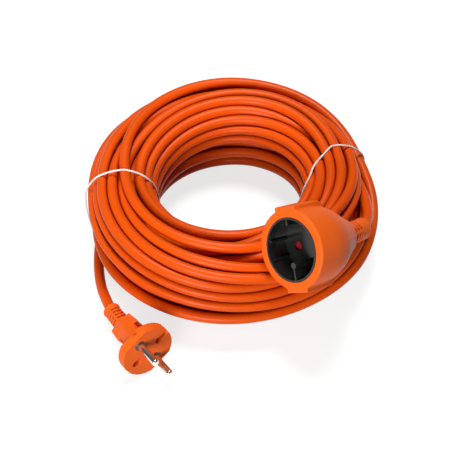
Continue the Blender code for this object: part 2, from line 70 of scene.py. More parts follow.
# The uncoiled cord's route, as in part.py, less the last two points of the socket's lead.
SOCKET_RELIEF_ROUTE = [(81.4, -56.7, 62.1), (88.9, -48.4, 57.1)]
SOCKET_LEAD_ROUTE = [(94.4, -38.9, 52.4), (98.2, -26.0, 48.6)]
PLUG_LEAD_ROUTE = [
    (-86.8, -70.3, 9.6), (-91.0, -53.0, 6.0), (-93.6, -35.0, 4.2), (-94.6, -17.0, 3.9),
    (-93.9, -1.0, 4.0), (-91.6, 13.0, 4.3),
]

SOCKET_FACE = (37.9, -93.5, 88.0)
SOCKET_AIM = (-140.6, 24.4, 39.9)
PLUG_FACE = (-53.1, -122.0, 19.4)
PLUG_AIM = (-54.4, 7.5, -62.6)


def aimed(place, azimuth_deg, elevation_deg, roll_deg):
    """A fitting's local frame: X along its pins, Y to its key, Z out of its face."""
    azimuth, elevation, roll = map(math.radians, (azimuth_deg, elevation_deg, roll_deg))
    out = Vector((
        math.cos(elevation) * math.cos(azimuth),
        math.cos(elevation) * math.sin(azimuth),
        math.sin(elevation),
    ))
    level = Vector((-math.sin(azimuth), math.cos(azimuth), 0.0))
    key_side = out.cross(level) * math.cos(roll) - level * math.sin(roll)
    turn = Matrix((key_side.cross(out), key_side, out)).transposed()
    return Matrix.Translation(place) @ turn.to_4x4()


SOCKET_FRAME = aimed(SOCKET_FACE, *SOCKET_AIM)
PLUG_FRAME = aimed(PLUG_FACE, *PLUG_AIM)


def in_row(point):
    """A point of the coil's frame, in metres in the row frame."""
    return (Vector(point) + COIL_CENTRE) * MM


def on_axis(local, *heights):
    return [local @ Vector((0.0, 0.0, height)) for height in heights]


# ---------------------------------------------------------------- camera, floor, light

EYE_ELEVATION = math.radians(47.6)
EYE_DISTANCE = 850.0
LENS = 94.2
LOOK_AT = (0.0, 0.0, MIDDLE_Z)
FRAME_SHIFT = (-0.0016, -0.068)

# The room: metres, watts and strengths of glow.
FLOOR_SIZE = 6.0
FLOOR_GREY = (0.36, 0.36, 0.36)
FLOOR_GLOW = 0.76
WHITE = (1.0, 1.0, 1.0, 1.0)
SKY_BELOW = 0.05
SKY_ABOVE = 0.1
# Heights of a direction between which the sky fades; straight up is 1.
SKY_FADE = (-0.2, 0.3)
LAMP_TARGET = (0.0, 0.0, 0.03)
# Each lamp's name, place, width and power.
LAMPS = [
    ("top", (0.0, 0.3, 1.3), 0.5, 14.5),
    ("front", (-0.4, -1.2, 0.42), 0.7, 17.0),
]


def add_camera():
    lens = bpy.data.cameras.new("camera")
    lens.lens = LENS
    lens.shift_x, lens.shift_y = FRAME_SHIFT
    camera = bpy.data.objects.new("camera", lens)
    bpy.context.scene.collection.objects.link(camera)
    reach = Vector((0.0, -math.cos(EYE_ELEVATION), math.sin(EYE_ELEVATION))) * EYE_DISTANCE
    camera.location = in_row(Vector(LOOK_AT) + reach)
    camera.rotation_euler = (math.pi / 2 - EYE_ELEVATION, 0.0, 0.0)
    bpy.context.scene.camera = camera


def add_lamp(name, place, size, power):
    """A round lamp that faces the coil."""
    lamp = bpy.data.lights.new(name, "AREA")
    lamp.shape = "DISK"
    lamp.size = size
    lamp.energy = power
    made = bpy.data.objects.new(name, lamp)
    bpy.context.scene.collection.objects.link(made)
    made.location = place
    aim = Vector(LAMP_TARGET) - Vector(place)
    made.rotation_euler = aim.to_track_quat("-Z", "Y").to_euler()


def add_floor():
    """A pale floor with a glow, hidden from diffuse rays so that it doesn't light the object."""
    bpy.ops.mesh.primitive_plane_add(size=FLOOR_SIZE)
    floor = bpy.context.active_object
    floor.name = "floor"
    paper = plastic("pale_floor", FLOOR_GREY, 0.9, grain=0.0)
    shader = paper.node_tree.nodes["Principled BSDF"]
    shader.inputs["Emission Color"].default_value = WHITE
    shader.inputs["Emission Strength"].default_value = FLOOR_GLOW
    floor.data.materials.append(paper)
    floor.visible_diffuse = False


def add_sky():
    """A dim white room that fades towards the floor."""
    sky = bpy.data.worlds.new("studio")
    bpy.context.scene.world = sky
    sky.use_nodes = True
    nodes, links = sky.node_tree.nodes, sky.node_tree.links
    direction = nodes.new("ShaderNodeTexCoord").outputs["Generated"]
    split = nodes.new("ShaderNodeSeparateXYZ")
    links.new(direction, split.inputs["Vector"])
    height = nodes.new("ShaderNodeMapRange")
    height.inputs["From Min"].default_value = SKY_FADE[0]
    height.inputs["From Max"].default_value = SKY_FADE[1]
    height.inputs["To Min"].default_value = SKY_BELOW
    height.inputs["To Max"].default_value = SKY_ABOVE
    links.new(split.outputs["Z"], height.inputs["Value"])
    links.new(height.outputs["Result"], nodes["Background"].inputs["Strength"])
    nodes["Background"].inputs["Color"].default_value = WHITE


def add_studio():
    add_camera()
    add_floor()
    add_sky()
    for lamp in LAMPS:
        add_lamp(*lamp)
    bpy.context.scene.view_settings.view_transform = "Standard"


# ---------------------------------------------------------------- materials

# Every surface's colour drifts by MOTTLE and its roughness by GLOSS_DRIFT, both ways.
MOTTLE = 0.05
MOTTLE_MM = 24.0
GLOSS_DRIFT = 0.15
GLOSS_MM = 3.0
GRAIN_DEPTH = 0.1
# Painted shade: the orange plastics go over to this dark shade colour where another surface is
# near, from an ambient occlusion node.
PAINTED_GAP_SHADE = (0.3, 0.014, 0.002)
GAP_REACH = 5.0
GAP_SAMPLES = 8
GAP_CLOSED = 0.1
GAP_OPEN = 0.75
# Sockets of a Mix node that mixes colours.
MIX_SHARE = 0
MIX_FIRST = 6
MIX_SECOND = 7
MIX_RESULT = 2


def noise(tree, size_mm, detail=2.0):
    """A noise of this size that is fixed to the piece."""
    place = tree.nodes.new("ShaderNodeTexCoord").outputs["Object"]
    texture = tree.nodes.new("ShaderNodeTexNoise")
    texture.inputs["Scale"].default_value = 1.0 / (size_mm * MM)
    texture.inputs["Detail"].default_value = detail
    tree.links.new(place, texture.inputs["Vector"])
    return texture.outputs["Fac"]


def colour_mix(tree, share):
    mix = tree.nodes.new("ShaderNodeMix")
    mix.data_type = "RGBA"
    tree.links.new(share, mix.inputs[MIX_SHARE])
    return mix


def mottled(tree, colour):
    """The colour, drifting a little darker and lighter over the piece."""
    drift = colour_mix(tree, noise(tree, MOTTLE_MM))
    drift.inputs[MIX_FIRST].default_value = (*[c * (1.0 - MOTTLE) for c in colour], 1.0)
    drift.inputs[MIX_SECOND].default_value = (*[min(1.0, c * (1.0 + MOTTLE)) for c in colour], 1.0)
    return drift.outputs[MIX_RESULT]


def painted_shade_in_gaps(tree, surface, painted_shade_colour):
    """Painted shade: the surface's colour, going over to a dark shade colour as the space before
    it closes.
    """
    openness = tree.nodes.new("ShaderNodeAmbientOcclusion")
    openness.samples = GAP_SAMPLES
    openness.inputs["Distance"].default_value = GAP_REACH * MM
    spread = tree.nodes.new("ShaderNodeMapRange")
    spread.inputs["From Min"].default_value = GAP_CLOSED
    spread.inputs["From Max"].default_value = GAP_OPEN
    tree.links.new(openness.outputs["AO"], spread.inputs["Value"])
    painted_shade_mix = colour_mix(tree, spread.outputs["Result"])
    painted_shade_mix.inputs[MIX_FIRST].default_value = (*painted_shade_colour, 1.0)
    tree.links.new(surface, painted_shade_mix.inputs[MIX_SECOND])
    return painted_shade_mix.outputs[MIX_RESULT]


def uneven_gloss(tree, roughness):
    gloss = tree.nodes.new("ShaderNodeMapRange")
    gloss.inputs["To Min"].default_value = roughness * (1.0 - GLOSS_DRIFT)
    gloss.inputs["To Max"].default_value = min(1.0, roughness * (1.0 + GLOSS_DRIFT))
    tree.links.new(noise(tree, GLOSS_MM, detail=4.0), gloss.inputs["Value"])
    return gloss.outputs["Result"]


def fine_grain(tree, strength, size_mm):
    bump = tree.nodes.new("ShaderNodeBump")
    bump.inputs["Strength"].default_value = strength
    bump.inputs["Distance"].default_value = GRAIN_DEPTH * MM
    tree.links.new(noise(tree, size_mm, detail=3.0), bump.inputs["Height"])
    return bump.outputs["Normal"]


def plastic(name, colour, roughness, metallic=0.0, grain=0.04, grain_mm=0.35, specular=0.5,
            painted_shade_colour=None):
    """A moulded or drawn surface: slight colour drift, uneven gloss, a fine grain, and painted
    shade in its gaps when given a shade colour.
    """
    made = bpy.data.materials.new(name)
    made.use_nodes = True
    tree = made.node_tree
    shader = tree.nodes["Principled BSDF"]
    shader.inputs["Metallic"].default_value = metallic
    shader.inputs["Specular IOR Level"].default_value = specular
    surface = mottled(tree, colour)
    if painted_shade_colour:
        surface = painted_shade_in_gaps(tree, surface, painted_shade_colour)
    tree.links.new(surface, shader.inputs["Base Color"])
    tree.links.new(uneven_gloss(tree, roughness), shader.inputs["Roughness"])
    if grain:
        tree.links.new(fine_grain(tree, grain, grain_mm), shader.inputs["Normal"])
    return made


# Both orange plastics carry painted shade: they darken where another surface is near, in gaps
# between turns, in slots and in holes.
SHEATH = plastic("cord_sheath", (0.76, 0.084, 0.002), 0.33, grain=0.015, grain_mm=1.5,
                 specular=0.14, painted_shade_colour=PAINTED_GAP_SHADE)
MOULDING = plastic("orange_moulding", (0.88, 0.128, 0.009), 0.45, grain=0.12, grain_mm=0.3,
                   specular=0.14, painted_shade_colour=PAINTED_GAP_SHADE)
INSERT = plastic("black_insert", (0.014, 0.014, 0.013), 0.2, grain=0.05)
COLLAR = plastic("dark_carrier", (0.06, 0.06, 0.055), 0.45)
SHUTTER = plastic("red_shutter", (0.28, 0.008, 0.012), 0.35)
NICKEL = plastic("nickel_pin", (0.8, 0.75, 0.68), 0.2, metallic=1.0, grain=0.0)
STEEL = plastic("spring_steel", (0.6, 0.6, 0.6), 0.3, metallic=1.0)
BRASS = plastic("brass", (0.72, 0.52, 0.22), 0.3, metallic=1.0)
BROWN = plastic("brown_core", (0.16, 0.06, 0.03), 0.5)
BLUE = plastic("blue_core", (0.03, 0.12, 0.5), 0.5)
TIE_WHITE = plastic("white_tie", (0.86, 0.84, 0.82), 0.4)

CAD_LOOKS = {
    "contact_": BRASS, "plug_crimp_": BRASS, "socket_crimp_": BRASS, "shutter_spring": STEEL,
    "plug_core_blue": BLUE, "socket_core_blue": BLUE, "plug_core_brown": BROWN,
    "socket_core_brown": BROWN, "contact_carrier": INSERT, "shutter": SHUTTER,
    "plug_pin_carrier": COLLAR,
}


def look_for(node):
    """The look of the longest name in CAD_LOOKS that the node's name starts with."""
    fits = [name for name in CAD_LOOKS if node.startswith(name)]
    return CAD_LOOKS[max(fits, key=len)] if fits else MOULDING


def dress_cad_nodes():
    for name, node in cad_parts.items():
        for slot in node.material_slots:
            slot.material = look_for(name)


# ---------------------------------------------------------------- the coil's turns

STATIONS = 90
SEAM_DEG = -45.0
STATION_DEG = 360.0 / STATIONS
STEPS = 650
SEED = 4

# Each turn that shows, in three columns: degrees round the ring, degrees round the
# section (0 outward, 90 up, 180 inward) and height above the bundle's skin. A turn's
# name says where on the skin it mostly lies.
SHOWN_TURNS = {
    "from_socket": [
        (-29, 41, 1), (0, 22, -2), (20, 22, -3), (45, 18, -2), (75, 18, -6), (100, 14, -8),
        (125, 10, -7), (150, 4, -2), (180, -2, -1), (225, -8, -6), (270, 15, -9), (315, 40, -9),
    ],
    "top_1": [
        (-45, -18, 6), (-36, -15, 7), (-27, -12, 7), (-20, -8, 6), (-10, 3, 4), (0, 26, 2),
        (12, 36, 2), (20, 42, 2), (45, 54, 3), (90, 60, 3), (122, 60, 3), (135, 74, 1),
        (165, 96, 1), (180, 100, 1), (225, 96, 0), (270, 102, 0), (315, 105, 0),
    ],
    "top_2": [
        (-45, 92, 0), (-20, 90, 0), (0, 82, 0), (20, 76, 0), (45, 72, 0), (69, 74, 0),
        (90, 81, 0), (115, 102, 0), (135, 106, 0), (155, 106, -1), (180, 101, -7),
        (200, 90, -5), (218, 82, -1), (230, 78, 0), (270, 74, 0), (315, 64, 0),
    ],
    "top_3": [
        (-45, 103, 0), (0, 99, 0), (22, 102, 0), (45, 96, 0), (69, 94, 0), (90, 99, 0),
        (110, 108, 0), (135, 116, 0), (180, 120, 0), (204, 122, 0), (225, 126, 1),
        (270, 127, 2), (315, 124, 1),
    ],
    "inner_1": [
        (-45, 78, -8), (0, 88, -8), (30, 98, -7), (42, 104, -2), (64, 108, 0), (90, 114, 0),
        (119, 124, 0), (148, 132, 0), (180, 138, 0), (225, 146, 0), (270, 146, 0),
        (315, 140, 0),
    ],
    "inner_2": [
        (-45, 114, 0), (0, 112, 0), (30, 116, 0), (64, 124, 0), (90, 129, 0), (117, 138, 0),
        (147, 143, 0), (180, 153, 0), (225, 163, 0), (270, 163, 0), (315, 156, 0),
    ],
    "inner_3": [
        (-45, 128, 0), (5, 122, 0), (30, 127, 0), (66, 138, 0), (90, 143, 0), (119, 154, 0),
        (150, 158, 0), (180, 168, 0), (225, 180, 0), (270, 180, 0), (315, 172, 0),
    ],
    "inner_4": [
        (-45, 142, 0), (5, 136, 0), (23, 142, 0), (41, 149, 0), (61, 154, 0), (90, 158, 0),
        (115, 168, 0), (140, 170, 0), (180, 183, 0), (225, 197, 0), (270, 197, 0),
        (315, 188, 0),
    ],
    "inner_5": [
        (-45, 158, 0), (2, 163, 0), (19, 172, 0), (39, 180, 0), (60, 190, 0), (90, 202, 0),
        (115, 204, 0), (144, 200, 0), (180, 199, 0), (225, 213, 0), (270, 213, 0),
        (315, 204, 0),
    ],
    "inner_6": [
        (-45, 176, 0), (0, 190, 0), (25, 200, 0), (46, 208, 0), (60, 212, 0), (90, 228, 0),
        (120, 236, 0), (180, 216, 0), (225, 229, 0), (270, 229, 0), (315, 220, 0),
    ],
    "outer_3": [
        (-45, 10, -6), (0, 0, -2), (45, 0, 0), (90, 6, 0), (120, 33, 0), (143, 50, 3),
        (151, 48, 5), (162, 41, 5), (172, 30, 4), (182, 16, 2), (196, -6, 1), (210, 6, 1),
        (222, 17, 1), (247, 12, 0), (270, 3, 0), (290, -2, 1), (303, -3, 2), (315, -5, 3),
    ],
    "outer_4": [
        (-45, -5, 3), (-30, 0, 3), (-18, 8, 2), (-8, 14, -2), (10, 8, 0), (45, 34, 0),
        (90, 40, 0), (125, 32, -5), (150, 30, -4), (180, -20, 0), (205, -24, 0), (225, -10, -4),
        (270, 0, -7), (315, 5, -8),
    ],
    "outer_2": [
        (-45, 66, 0), (-26, 66, 0), (-6, 54, 0), (11, 42, -1), (30, 30, -5), (60, 20, -5),
        (100, 30, -3), (135, 42, -1), (150, 54, 1), (165, 50, 0), (180, 42, 0), (195, 46, 0),
        (214, 44, 0), (234, 38, 0), (246, 34, 0), (259, 27, 0), (274, 20, 0), (288, 16, 0),
        (298, 10, 0), (315, 12, -2),
    ],
    "outer_1": [
        (-45, 84, 0), (-26, 83, 0), (-17, 80, 0), (-6, 71, 0), (5, 60, 0), (20, 54, 0),
        (35, 58, -1), (50, 54, -5), (70, 44, -4), (95, 44, -2), (120, 56, -1), (137, 58, 2),
        (150, 63, 2), (165, 66, 1), (180, 68, 1), (198, 66, 1), (206, 62, 1), (226, 54, 2),
        (236, 49, 2), (246, 44, 1), (258, 40, 0), (274, 40, 0), (315, 30, 0),
    ],
    "sunk": [
        (-45, 74, -8), (0, 68, -5), (20, 65, -3), (45, 62, -5), (90, 66, -6), (135, 88, -5),
        (150, 82, -3), (165, 83, -6), (180, 84, -8), (200, 77, -8), (216, 67, -6), (228, 62, -3),
        (253, 60, 0), (270, 58, 0), (315, 48, 0),
    ],
    "outer_5": [
        (-45, -30, 0), (0, -22, 0), (45, -18, 0), (90, -16, 0), (135, -12, 0), (180, -36, 0),
        (200, -34, 1), (215, -22, 3), (233, -18, 3), (258, -18, 3), (274, -18, 3),
        (290, -19, 3), (303, -20, 4), (315, -18, 6),
    ],
    "foot_1": [
        (-45, -48, 0), (45, -40, 0), (135, -34, 0), (180, -52, 0), (225, -38, 0), (270, -40, 0),
        (315, -44, 0),
    ],
    "foot_2": [
        (-45, -66, 0), (45, -60, 0), (135, -56, 0), (200, -74, 0), (270, -62, 0), (315, -66, 0),
    ],
    "foot_3": [
        (-45, -88, 0), (45, -82, 0), (135, -80, 0), (225, -94, 0), (315, -86, 0),
    ],
    "foot_4": [
        (-45, -112, 0), (45, -106, 0), (135, -104, 0), (225, -114, 0), (315, -110, 0),
    ],
    "to_plug": [
        (-45, -62, -7), (45, -70, -7), (135, -58, -3), (171, -59, 0),
    ],
}
# The order of the turns along the cord; None is a turn inside the bundle.
TURN_ORDER = [
    "from_socket", None, "top_2", None, "inner_2", None, "inner_5", None, "foot_4", None,
    "top_3", None, "inner_3", None, "inner_6", None, "foot_3", None, "inner_1", None, "inner_4",
    None, "foot_2", None, None, "outer_1", None, "sunk", None, None, "outer_2", None, "outer_3",
    "outer_4", None, "foot_1", None, "outer_5", "top_1", None, None, "to_plug",
]
RING_DEG = SEAM_DEG + STATION_DEG * np.arange(STATIONS)
# The hidden turns: depths below the skin of their two rings, how far they wander round
# the section, and the share of a turn in which they part from or join a shown one.
INNER_DEPTHS = (-8.2, -16.0)
OUTER_SHARE = 2 / 3
WANDER = 0.5
WANDER_TWICE = 0.3
ANY_PHASE = 6.3
SEAM_SHARE = 0.16
# The solver: how firmly turns are drawn to their goals, how stiff they are, how hard
# overlapping ones push each other, and the rounds of easing and parting in a step.
INNER_HOLD = 0.12
FIRST_PULL = 0.3
LAST_PULL = 0.008
PULL_FADE = 1.5
STIFFENINGS = 3
PARTINGS = 3
STIFFNESS = 0.45
PUSH = 0.42
TURN_GAP = 1.02
SKIN_SLACK = 0.3
SOCKET_PUSH = 0.8
TINY = 1e-9
# Radius to stay clear of, at depths behind the socket's face.
SOCKET_KEEP_OUT = [
    (-60.0, 7.9), (-51.0, 8.5), (-50.0, 12.5), (-47.0, 14.5), (-38.0, 20.7), (-30.0, 24.5),
    (-22.0, 26.1), (3.0, 26.3),
]


def skin_reach(section, inset):
    """From the section's middle to its skin, drawn in by inset, at a section angle."""
    across = np.abs(np.cos(section)) / (HALF_WIDTH - inset)
    up = np.abs(np.sin(section)) / (HALF_HEIGHT - inset)
    return (across ** ROUNDNESS + up ** ROUNDNESS) ** (-1.0 / ROUNDNESS)


def tie_angle(tie, section):
    """The ring angle of a tie, in degrees, at a section angle: its inner side may slant."""
    top, inner_shift = tie
    return top + inner_shift * np.maximum(0.0, -np.cos(section)) ** TIE_SLANT_POWER


def pinch(ring_deg, section):
    """How far the bundle is drawn in beside its ties."""
    depth = np.zeros(np.broadcast(ring_deg, section).shape)
    for tie in TIES.values():
        away = np.remainder(ring_deg - tie_angle(tie, section) + 180.0, 360.0) - 180.0
        share = np.minimum(np.radians(np.abs(away)) * RING_RADIUS / PINCH_REACH, 1.0)
        depth = np.maximum(depth, PINCH_DEPTH * np.cos(0.5 * np.pi * share) ** 2)
    return depth


def in_section(section, height, drawn_in):
    """Radius and height of the cord's middle at a section angle and a height over the skin."""
    reach = np.maximum(skin_reach(section, CORD / 2 + drawn_in) + height, 0.0)
    return np.stack([
        RING_RADIUS + reach * np.cos(section), MIDDLE_Z + reach * np.sin(section)], -1)


def around_ring(turns):
    """Points (x, y, z) of turns given as (radius, height) at each station."""
    ring = np.radians(RING_DEG)
    return np.stack([
        turns[..., 0] * np.cos(ring), turns[..., 0] * np.sin(ring), turns[..., 1]], -1)


def shown_goal(name):
    knots = np.array(SHOWN_TURNS[name], float)
    section = np.radians(np.interp(RING_DEG, knots[:, 0], knots[:, 1]))
    height = np.interp(RING_DEG, knots[:, 0], knots[:, 2])
    return in_section(section, height, pinch(RING_DEG, section)), height


def inner_lanes(count, rng):
    """Section angles and depths of the hidden turns, on two rings inside the skin."""
    outer = round(count * OUTER_SHARE)
    inner = count - outer
    lanes = [(2 * np.pi * k / outer, INNER_DEPTHS[0]) for k in range(outer)]
    lanes += [(2 * np.pi * (k + 0.5) / inner, INNER_DEPTHS[1]) for k in range(inner)]
    rng.shuffle(lanes)
    return lanes


def turn_goals():
    """Where each turn would lie if it had the bundle to itself, and how firmly it is held."""
    rng = np.random.default_rng(SEED)
    count = len(TURN_ORDER)
    goal, height = np.zeros((count, STATIONS, 2)), np.zeros((count, STATIONS))
    firmness = np.where([name is None for name in TURN_ORDER], INNER_HOLD, 1.0)
    for k, name in enumerate(TURN_ORDER):
        if name:
            goal[k], height[k] = shown_goal(name)
    inner = [k for k, name in enumerate(TURN_ORDER) if name is None]
    ring = np.radians(RING_DEG)
    through = (RING_DEG - SEAM_DEG) / 360.0
    for k, (lane, depth) in zip(inner, inner_lanes(len(inner), rng)):
        wander = rng.uniform(-WANDER, WANDER) * np.sin(ring + rng.uniform(0.0, ANY_PHASE))
        size = rng.uniform(-WANDER_TWICE, WANDER_TWICE)
        wander += size * np.sin(2 * ring + rng.uniform(0.0, ANY_PHASE))
        goal[k] = in_section(lane + wander, depth, 0.0)
        leaving = np.clip(1.0 - through / SEAM_SHARE, 0.0, 1.0)[:, None] ** 2
        joining = np.clip(1.0 - (1.0 - through) / SEAM_SHARE, 0.0, 1.0)[:, None] ** 2
        if TURN_ORDER[k - 1]:
            goal[k] += leaving * (goal[k - 1, -1] - goal[k])
        if TURN_ORDER[k + 1]:
            goal[k] += joining * (goal[k + 1, 0] - goal[k])
    return goal, height, firmness[:, None, None]


def pin_route(turn, points, goal, pinned):
    """Fix one turn to a route's points where they pass its stations."""
    route = np.array(points)
    ring = np.degrees(np.arctan2(route[:, 1], route[:, 0])) % 360.0
    ring = np.where(ring > SEAM_DEG % 360.0, ring - 360.0, ring)
    order = np.argsort(ring)
    inside = (RING_DEG >= ring.min()) & (RING_DEG <= ring.max())
    reach = np.hypot(route[:, 0], route[:, 1])
    goal[turn, inside, 0] = np.interp(RING_DEG[inside], ring[order], reach[order])
    goal[turn, inside, 1] = np.interp(RING_DEG[inside], ring[order], route[order, 2])
    pinned[turn, inside] = True
    return ring.min(), ring.max()


def stiffen(turns, live):
    """Ease each point towards its two neighbours along the cord."""
    line = turns.reshape(-1, 2)
    free = live.reshape(-1).copy()
    free[1:-1] &= free[:-2] & live.reshape(-1)[2:]
    free[[0, -1]] = False
    middle = line.copy()
    middle[1:-1] = 0.5 * (line[:-2] + line[2:])
    line[free] += STIFFNESS * (middle - line)[free]
    return line.reshape(turns.shape)


def part_turns(turns, pairs):
    """Push turns that overlap at a station apart."""
    apart = turns[:, None] - turns[None]
    distance = np.sqrt((apart ** 2).sum(-1)) + TINY
    overlap = np.where(pairs, np.maximum(CORD * TURN_GAP - distance, 0.0), 0.0)
    return turns + PUSH * (apart * (overlap / distance)[..., None]).sum(1)


def keep_in_skin(turns, height):
    offset = turns - (RING_RADIUS, MIDDLE_Z)
    section = np.arctan2(offset[..., 1], offset[..., 0])
    reach = np.hypot(offset[..., 0], offset[..., 1])
    skin = skin_reach(section, CORD / 2 + pinch(RING_DEG, section))
    most = skin + np.maximum(height, 0.0) + SKIN_SLACK
    turns = (RING_RADIUS, MIDDLE_Z) + offset * np.minimum(1.0, most / reach)[..., None]
    turns[..., 1] = np.maximum(turns[..., 1], CORD / 2)
    return turns


def keep_off_socket(turns):
    """Push the turns out of the socket's body and strain relief."""
    place = np.array(SOCKET_FRAME.translation)
    out = np.array(SOCKET_FRAME.col[2][:3])
    from_face = around_ring(turns) - place
    depth = from_face @ out
    aside = from_face - depth[..., None] * out
    distance = np.linalg.norm(aside, axis=-1)
    profile = np.array(SOCKET_KEEP_OUT)
    beside = (depth > profile[0, 0]) & (depth < profile[-1, 0])
    clear = np.where(beside, np.interp(depth, *profile.T) + CORD / 2, 0.0)
    step = aside * (SOCKET_PUSH * np.maximum(clear - distance, 0.0) / distance)[..., None]
    ring = np.radians(RING_DEG)
    moved = turns.copy()
    moved[..., 0] += step[..., 0] * np.cos(ring) + step[..., 1] * np.sin(ring)
    moved[..., 1] += step[..., 2]
    return moved


def wind_coil():
    """Settle all turns together: few overlaps, inside the skin, smooth along the cord."""
    goal, height, firmness = turn_goals()
    pinned = np.zeros(goal.shape[:2], bool)
    live = np.ones(goal.shape[:2], bool)
    first, _ = pin_route(0, SOCKET_RELIEF_ROUTE[1:] + SOCKET_LEAD_ROUTE, goal, pinned)
    _, last = pin_route(len(goal) - 1, PLUG_LEAD_ROUTE, goal, pinned)
    live[0, RING_DEG < first] = False
    live[-1, RING_DEG > last] = False
    pairs = live[:, None] & live[None] & ~np.eye(len(goal), dtype=bool)[..., None]
    turns = goal.copy()
    for step in range(STEPS):
        pull = FIRST_PULL * (1.0 - step / STEPS) ** PULL_FADE + LAST_PULL
        turns += pull * firmness * (goal - turns)
        for _ in range(STIFFENINGS):
            turns = stiffen(turns, live)
        for _ in range(PARTINGS):
            turns = keep_in_skin(part_turns(turns, pairs), height)
            turns = keep_off_socket(turns)
            turns[pinned] = goal[pinned]
    return turns, live


# ---------------------------------------------------------------- cord and ties

# Rounds of easing along the cord; near its ends they grow with the steps from the end.
CORD_EASING = 6
LEAD_EASING = 20
LEAD_STATIONS = 36
EASING_START = 2
EASING_GROWTH = 3
CORD_PIECES = 2
# Heights on the fittings' axes, in their own frames.
SOCKET_CORD_START = (-47.0, -51.3)
PLUG_RELIEF_HEIGHTS = (-29.0, -35.0, -42.0, -48.5)
PLUG_RELIEF_SWAY = Vector((0.8, 0.45, -0.6))
PLUG_RELIEF_HALFWAY = 0.3
TIE_WIRE = 0.65
TIE_STEP_DEG = 4
TIE_EASING = 8
TIE_LAST_EASING = 3
TIE_SLACK = 0.6


def upsampled(points, pieces):
    """A Catmull-Rom curve through the points, with this many pieces per gap."""
    p = np.vstack([2 * points[0] - points[1], points, 2 * points[-1] - points[-2]])
    t = (np.arange(pieces) / pieces)[None, :, None]
    before, start, end, after = (part[:, None] for part in (p[:-3], p[1:-2], p[2:-1], p[3:]))
    curve = 0.5 * (
        2 * start + (end - before) * t + (2 * before - 5 * start + 4 * end - after) * t ** 2
        + (3 * start - before - 3 * end + after) * t ** 3
    )
    return np.vstack([curve.reshape(-1, points.shape[1]), points[-1]])


def tube(name, points, radius, look, closed=False, resolution=4):
    """A round tube along points of the coil's frame."""
    curve = bpy.data.curves.new(name, "CURVE")
    curve.dimensions = "3D"
    curve.bevel_depth = radius * MM
    curve.bevel_resolution = resolution
    curve.use_fill_caps = not closed
    spline = curve.splines.new("POLY")
    spline.points.add(len(points) - 1)
    for knot, place in zip(spline.points, points):
        knot.co = (*in_row(place), 1.0)
    spline.use_cyclic_u = closed
    spline.use_smooth = True
    curve.materials.append(look)
    made = bpy.data.objects.new(name, curve)
    bpy.context.scene.collection.objects.link(made)
    return made


def plug_relief_route():
    """The strain relief's line, swayed at its end towards the lead."""
    *straight, third, last = on_axis(PLUG_FRAME, *PLUG_RELIEF_HEIGHTS)
    return [*straight, third + PLUG_RELIEF_HALFWAY * PLUG_RELIEF_SWAY, last + PLUG_RELIEF_SWAY]


def make_cord(turns, live):
    """One sheathed cord from inside the socket's relief to inside the plug's."""
    start = np.array(on_axis(SOCKET_FRAME, *SOCKET_CORD_START) + SOCKET_RELIEF_ROUTE)
    end = np.array(plug_relief_route()[::-1])
    coil = around_ring(turns).reshape(-1, 3)[live.reshape(-1)]
    line = np.vstack([start, coil, end])
    from_end = np.minimum(
        np.arange(len(line)) - len(start), np.arange(len(line))[::-1] - len(end))
    growing = EASING_GROWTH * from_end + EASING_START
    rounds = np.where(from_end < LEAD_STATIONS, growing, 0)
    rounds = np.clip(rounds, CORD_EASING, LEAD_EASING) * (from_end >= 0)
    for done in range(LEAD_EASING):
        middle = 0.25 * line[:-2] + 0.5 * line[1:-1] + 0.25 * line[2:]
        moving = rounds[1:-1] > done
        line[1:-1][moving] = middle[moving]
    return tube("sheathed_cord", upsampled(line, CORD_PIECES), CORD / 2, SHEATH, resolution=7)


def tie_route(tie, turns):
    """A taut wire round the turns: it bears on the outermost ones and bridges the gaps."""
    loops = around_ring(turns).reshape(-1, 3)
    ring = np.degrees(np.arctan2(loops[:, 1], loops[:, 0]))
    section = np.stack([np.hypot(loops[:, 0], loops[:, 1]), loops[:, 2]], -1)
    section -= (RING_RADIUS, MIDDLE_Z)
    angles = np.radians(np.arange(0, 360, TIE_STEP_DEG))
    around = np.array([tie_angle(tie, angle) for angle in angles])
    facing = np.stack([np.cos(angles), np.sin(angles)], -1)
    reach = np.array([
        (section[np.abs((ring - at + 180) % 360 - 180) < STATION_DEG] @ out).max()
        for at, out in zip(around, facing)
    ])
    reach = eased(np.minimum(eased(reach, TIE_EASING), reach + TIE_SLACK), TIE_LAST_EASING)
    reach += CORD / 2 + TIE_WIRE
    slope = (np.roll(reach, -1) - np.roll(reach, 1)) / (2 * math.radians(TIE_STEP_DEG))
    across = np.stack([-facing[:, 1], facing[:, 0]], -1)
    wire = (RING_RADIUS, MIDDLE_Z) + reach[:, None] * facing + slope[:, None] * across
    turn = np.radians(around)
    height = np.maximum(wire[:, 1], TIE_WIRE)
    return np.stack([wire[:, 0] * np.cos(turn), wire[:, 0] * np.sin(turn), height], -1)


def eased(loop, rounds):
    for _ in range(rounds):
        loop = 0.5 * loop + 0.25 * (np.roll(loop, 1, 0) + np.roll(loop, -1, 0))
    return loop


# ---------------------------------------------------------------- mesh helpers

CIRCLE_SIDES = 48
WELD = 0.001
SOFTENING = 3
BEVEL_ANGLE = math.radians(35.0)
BEVEL_SEGMENTS = 2


def fitting_place(local):
    """A fitting's frame as an object matrix in the row frame, for meshes in metres."""
    placed = local.copy()
    placed.translation = (local.translation + COIL_CENTRE) * MM
    return placed


def as_object(name, shape, look, local):
    """Link a bmesh drawn in a fitting's millimetres."""
    bmesh.ops.scale(shape, vec=(MM, MM, MM), verts=shape.verts)
    bmesh.ops.recalc_face_normals(shape, faces=shape.faces)
    mesh = bpy.data.meshes.new(name)
    shape.to_mesh(mesh)
    shape.free()
    mesh.materials.append(look)
    made = bpy.data.objects.new(name, mesh)
    bpy.context.scene.collection.objects.link(made)
    made.matrix_world = fitting_place(local)
    return made


